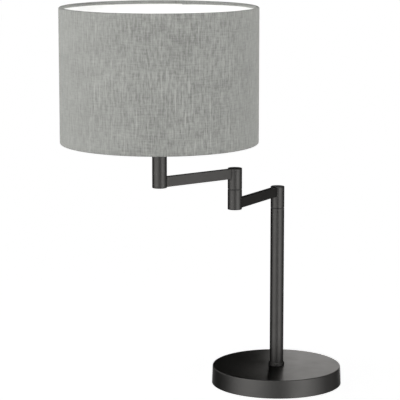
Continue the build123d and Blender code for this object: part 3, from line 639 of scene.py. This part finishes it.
bulb_thread = threaded_sleeve("bulb_thread_cap", shell_axis, cap_skin(0), cap_skin(cap_metal), 3.62 * MM,
                              0.9 * MM, bulb_cap_low + 1.5 * MM, bulb_cap_high - glass_seat, both=True)
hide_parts("bulb_cap")

# %% Glass and metal of the bulb
bulb_metal = Finish("rolled_aluminium", (0.78, 0.78, 0.79), 0.3, metallic=1.0)
rolled = bulb_metal.noise(bulb_metal.place((60, 60, 900)), detail=4.0)
bulb_metal.drive(bulb_metal.spread(rolled, 0.3, 0.7, 0.22, 0.4), "Roughness")
coat(bulb_thread, bulb_metal, "upper_arm")
dress(["bulb_contact"], bulb_metal)

vitrite = Finish("black_vitrite", (0.03, 0.03, 0.03), 0.15)
vitrite_flow = vitrite.noise(vitrite.place((250, 250, 250)), detail=3.0)
vitrite.bump(vitrite_flow, 0.05 * MM, 0.5)
vitrite.drive(vitrite.spread(vitrite_flow, 0.3, 0.7, 0.12, 0.22), "Roughness")
dress(["bulb_insulator"], vitrite)

frosted = Finish("frosted_glass", (0.93, 0.93, 0.91), 0.38, Transmission_Weight=0.25, IOR=1.46)
frost = frosted.noise(frosted.place((500, 500, 500)), detail=3.0)
frosted.drive(frosted.spread(frost, 0.3, 0.7, 0.33, 0.45), "Roughness")
dress(["bulb_glass"], frosted)
print("bulb finishes:", [finish.material.name for finish in (bulb_metal, vitrite, frosted)])

# %% [markdown]
# ## The pad under the base
#
# The base stands on a disc of dense felt with a soft, rounded edge. Three holes give way to the screws of
# the closing plate. The disc is a turned profile, and three plugs are cut from it with a Boolean modifier,
# which is applied at once.

# %% Felt disc with three holes
pad_x, pad_y, pad_radius, pad_low, pad_high = turned_part("base_pad")
pad_round = (pad_high - pad_low) / 2
pad_turn = np.linspace(-pi / 2, pi / 2, 9)
pad_edge = np.stack([pad_radius - pad_round + pad_round * np.cos(pad_turn),
                     (pad_low + pad_high) / 2 + pad_round * np.sin(pad_turn)], axis=-1)
spread_out = np.linspace(0, pad_radius - pad_round, 14)[:-1]
pad_outline = np.concatenate([np.stack([spread_out, np.full(13, pad_low)], -1), pad_edge,
                              np.stack([spread_out[::-1], np.full(13, pad_high)], -1)])
base_felt = merged(grid_piece("base_felt", turned_grid(pad_outline, (pad_x, pad_y), 160), wrap_v=False))

screw_circle = 70 * MM
hole_radius = 5 * MM
plug_outline = np.array([[0, -2 * MM], [hole_radius, -2 * MM], [hole_radius, 6 * MM], [0, 6 * MM]])
for number in range(3):
    heading = radians(90 + 120 * number)
    centre = (pad_x + screw_circle * cos(heading), pad_y + screw_circle * sin(heading))
    plug = merged(grid_piece(f"plug_{number}", turned_grid(plug_outline, centre, 32), wrap_v=False))
    cutter = base_felt.modifiers.new("hole", "BOOLEAN")
    cutter.object, cutter.operation, cutter.solver = plug, "DIFFERENCE", "EXACT"
    bpy.context.view_layer.objects.active = base_felt
    bpy.ops.object.modifier_apply(modifier="hole")
    bpy.data.objects.remove(plug)
base_felt.data.shade_smooth()
print("felt disc", round(pad_radius / MM, 1), "mm in radius, faces:", len(base_felt.data.polygons))

felt = Finish("black_felt", (0.03, 0.03, 0.032), 0.95, Sheen_Weight=0.3, Sheen_Roughness=0.6,
              Specular_IOR_Level=0.1)
fibres = felt.noise(felt.place((1400, 1400, 1400)), detail=5.0, rough=0.7)
matting = felt.noise(felt.place((120, 120, 120)), detail=3.0)
felt.drive(felt.mix(felt.spread(felt.maths("ADD", fibres, matting), 0.7, 1.3, 0, 1),
                    (0.018, 0.018, 0.020), (0.050, 0.050, 0.054)), "Base Color")
felt.bump(fibres, 0.25 * MM, 0.9)
coat(base_felt, felt, "stand")
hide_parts("base_pad")

# %% [markdown]
# ## Parts inside
#
# The rest is hidden until the lamp is taken apart or turned over: a cast iron weight, zinc plated
# fasteners, bright turned spindles, nylon washers, brass contacts and white sleeved leads. Each gets the
# grain that its making leaves on it: sand for the casting, crystals for the zinc, fine rings for what was
# turned, drawn lines for the leads. They all follow one recipe, so one helper makes them, and the record
# says which nodes share a finish.


# %% Grain that a making leaves
def grained(name, colour, roughness, scale, relief, metallic=1.0, swing=0.08):
    """A finish whose tone, gloss and relief follow one noise. A scale for each axis stretches the grain."""
    finish = Finish(name, colour, roughness, metallic=metallic)
    pattern = finish.noise(finish.place(scale), detail=4.0, rough=0.6)
    finish.drive(finish.spread(pattern, 0.3, 0.7, roughness - swing, roughness + swing), "Roughness")
    low, high = (tuple(c * k for c in colour) for k in (0.85, 1.12))
    finish.drive(finish.mix(finish.spread(pattern, 0.25, 0.75, 0, 1), low, high), "Base Color")
    finish.bump(pattern, relief * MM, 0.7)
    return finish


even, rings, drawn = (300, 300, 300), (120, 120, 2600), (300, 300, 40)
inner_finishes = {
    "cast_iron": grained("grey_cast_iron", (0.10, 0.10, 0.10), 0.72, even, 0.25, metallic=0.6),
    "zinc_steel": grained("zinc_plate", (0.55, 0.56, 0.57), 0.36, even, 0.02),
    "turned_steel": grained("turned_steel", (0.50, 0.50, 0.51), 0.26, rings, 0.02),
    "contact_brass": grained("contact_brass", (0.70, 0.52, 0.25), 0.28, even, 0.01),
    "nylon": grained("black_nylon", (0.02, 0.02, 0.02), 0.45, even, 0.02, metallic=0),
    "black_rubber": grained("black_rubber", (0.02, 0.02, 0.02), 0.72, even, 0.04, metallic=0),
    "terminal_plastic": grained("terminal_plastic", (0.75, 0.74, 0.70), 0.42, even, 0.02, metallic=0),
    "lead_sleeve": grained("lead_sleeve", (0.80, 0.79, 0.76), 0.60, drawn, 0.05, metallic=0),
    "holder_ceramic": grained("holder_ceramic", (0.80, 0.79, 0.76), 0.30, even, 0.03, metallic=0)}
for slot, finish in inner_finishes.items():
    dress([part["node"] for part in frame["record"]["subparts"] if part["material_slot"] == slot], finish)
undressed = [name for name, part in frame["nodes"].items()
             if not all(place.material and place.material.use_nodes for place in part.material_slots)]
print("finishes inside:", len(inner_finishes), "nodes without one:", undressed)

# %% [markdown]
# ## The studio
#
# Dark lacquer shows hardly any colour of its own: what it shows is the lights. So the lights are shaped for
# the tubes. A wide soft panel to the left of the camera and a narrower, brighter one to its right leave a
# darker band between them on every tube, and one small card behind the lamp lies as a reflection on the
# right half of the base.


# %% Soft boxes
def soft_box(name, place, aim, size, radiance):
    """A rectangular light of a given brightness, turned to face a point."""
    data = bpy.data.lights.new(name, "AREA")
    data.shape = "RECTANGLE"
    data.size, data.size_y = size
    data.energy = radiance * pi * size[0] * size[1]
    light = bpy.data.objects.new(name, data)
    light.location = place
    light.rotation_euler = (Vector(aim) - Vector(place)).to_track_quat("-Z", "Y").to_euler()
    light.visible_camera = False
    bpy.context.scene.collection.objects.link(light)
    return light


panel_distance = 1.6


def side_box(name, azimuth, width, radiance, heights=(-0.8, 1.9)):
    """An upright panel. Azimuth 0 is towards the camera, and positive angles go round to its right."""
    heading, middle = radians(azimuth), sum(heights) / 2
    place = (panel_distance * sin(heading), -panel_distance * cos(heading), middle)
    size = (2 * panel_distance * np.tan(radians(width / 2)), heights[1] - heights[0])
    return soft_box(name, place, (0, 0, middle), size, radiance)


# %% [markdown]
# ### Light for lacquer and light for cloth
#
# Cloth and lacquer want different light. Blender can link a light to chosen pieces, which does what flags
# and screens do in a studio. The lacquer gets the shaped panels, and one low behind it that the top of the
# base can't see. The base's cover has one more, low on the left, which its top mirrors in views from the
# right, and the collar has one from above. All the rest gets broader, weaker ones, a little stronger from
# the left, and a lamp inside the drum keeps the white lining white.


# %% Linked lights
def only_on(pieces, *lights):
    """Lets these lights reach these pieces and no others."""
    reached = bpy.data.collections.new(f"reached_by_{lights[0].name}")
    for piece in pieces:
        reached.objects.link(piece)
    for light in lights:
        light.light_linking.receiver_collection = reached


lacquered = [frame["nodes"][name] for name in tubes_and_arms + ["base_cover"]]
others = [thing for thing in bpy.context.scene.objects if thing.type == "MESH" and thing not in lacquered]
only_on(lacquered,
        side_box("left_box", -50, 60, 2.11),
        side_box("front_box", -10, 20, 0.98),
        side_box("right_box", 40, 40, 2.58),
        side_box("right_edge_box", 72, 24, 1.48),
        side_box("far_right_box", 120, 40, 0.62),
        side_box("low_behind_box", 180, 70, 1.6, heights=(-0.8, 0.0)),
        soft_box("top_box", (-0.15, -0.25, 2.4), (-0.15, -0.2, 0), (1.8, 1.8), 1.5),
        soft_box("back_card", (0.15, 0.45, 0.2), (0.15, 0, 0.2), (0.3, 0.6), 6.6))
only_on([frame["nodes"]["base_cover"]], side_box("base_left_box", -120, 60, 1.6, heights=(0.0, 1.0)))
only_on([frame["nodes"]["pole_collar"]],
        soft_box("collar_box", (-0.1, -1.6, 2.0), (0, 0, 0.03), (1.4, 1.0), 3.6))
only_on(others,
        side_box("cloth_left", -60, 80, 1.68),
        side_box("cloth_front", 0, 40, 0.46),
        side_box("cloth_right", 60, 80, 1.51),
        side_box("cloth_behind", 180, 100, 1.15),
        soft_box("cloth_top", (-0.15, -0.25, 2.4), (-0.15, -0.2, 0), (1.8, 1.8), 0.5))

glow = bpy.data.lights.new("lining_lamp", "POINT")
glow.energy = 0.55
glow.shadow_soft_size = 0.04
glow.use_shadow = False
lining_lamp = bpy.data.objects.new("lining_lamp", glow)
lining_lamp.location = (shade_x, shade_y, (shade_foot + shade_top) / 2)
lining_lamp.parent = frame["nodes"]["shade_lining"]
bpy.context.scene.collection.objects.link(lining_lamp)
only_on([frame["nodes"]["shade_lining"]], lining_lamp)

# %% [markdown]
# ### Floor and sky
#
# The floor is a plain white sweep. It glows, so that it stays white as far as the eye can see. Next to the
# base it glows a little less: a painted shadow round the lamp's foot. For every other ray it glows at a
# third of that, as a bounce from below. It has one side only, so that the felt can be looked at from
# underneath. The metal doesn't mirror it, and the sky is white to the eye and black to everything else.

# %% Floor
floor_half = 8.0
floor_mesh = bpy.data.meshes.new("floor")
floor_gap = -0.2 * MM         # just under the felt, so that the two faces don't coincide
corners = [(-floor_half, -floor_half, floor_gap), (floor_half, -floor_half, floor_gap),
           (floor_half, floor_half, floor_gap), (-floor_half, floor_half, floor_gap)]
floor_mesh.from_pydata(corners, [], [(0, 1, 2, 3)])
floor = bpy.data.objects.new("floor", floor_mesh)
bpy.context.scene.collection.objects.link(floor)
floor_paint = Finish("floor_paint", (0.8, 0.8, 0.8), 0.9, Specular_IOR_Level=0.0)
floor_paint.set("Emission Color", (1, 1, 1, 1))
far_off = floor_paint.node("VectorMath", operation="LENGTH")
floor_paint.link(floor_paint.place(), far_off.inputs[0])
# the lower glow next to the base is a painted shadow round the lamp's foot
painted_shadow_glow, far_glow, bounce = 0.97, 1.0, 0.35
to_eye = floor_paint.spread(far_off.outputs["Value"], base_radius, 3 * base_radius, painted_shadow_glow, far_glow)
is_seen = floor_paint.node("LightPath").outputs["Is Camera Ray"]
floor_paint.drive(floor_paint.maths("MULTIPLY_ADD", is_seen, floor_paint.maths("SUBTRACT", to_eye, bounce),
                                    bounce), "Emission Strength")
one_sided = floor_paint.node("MixShader")
floor_paint.link(floor_paint.node("NewGeometry").outputs["Backfacing"], one_sided.inputs["Fac"])
floor_paint.link(floor_paint.shader.outputs["BSDF"], one_sided.inputs[1])
floor_paint.link(floor_paint.node("BsdfTransparent").outputs["BSDF"], one_sided.inputs[2])
floor_paint.link(one_sided.outputs["Shader"], floor_paint.tree.nodes["Material Output"].inputs["Surface"])
floor.data.materials.append(floor_paint.material)
floor.visible_glossy = False
floor.visible_shadow = False
print(f"floor {2 * floor_half:.0f} m across, {-floor_gap / MM:.1f} mm under the felt")

# %% Sky
world = bpy.data.worlds.new("studio")
world.use_nodes = True
bpy.context.scene.world = world
sky = world.node_tree
seen = sky.nodes["Background"]
seen.inputs["Color"].default_value = (1, 1, 1, 1)
unseen = sky.nodes.new("ShaderNodeBackground")
unseen.inputs["Color"].default_value = (0, 0, 0, 1)
ray = sky.nodes.new("ShaderNodeLightPath")
choose = sky.nodes.new("ShaderNodeMixShader")
sky.links.new(ray.outputs["Is Camera Ray"], choose.inputs["Fac"])
sky.links.new(unseen.outputs["Background"], choose.inputs[1])
sky.links.new(seen.outputs["Background"], choose.inputs[2])
sky.links.new(choose.outputs["Shader"], sky.nodes["World Output"].inputs["Surface"])
bpy.context.scene.view_settings.view_transform = "Standard"
print("sky: white to the eye, dark to all else")
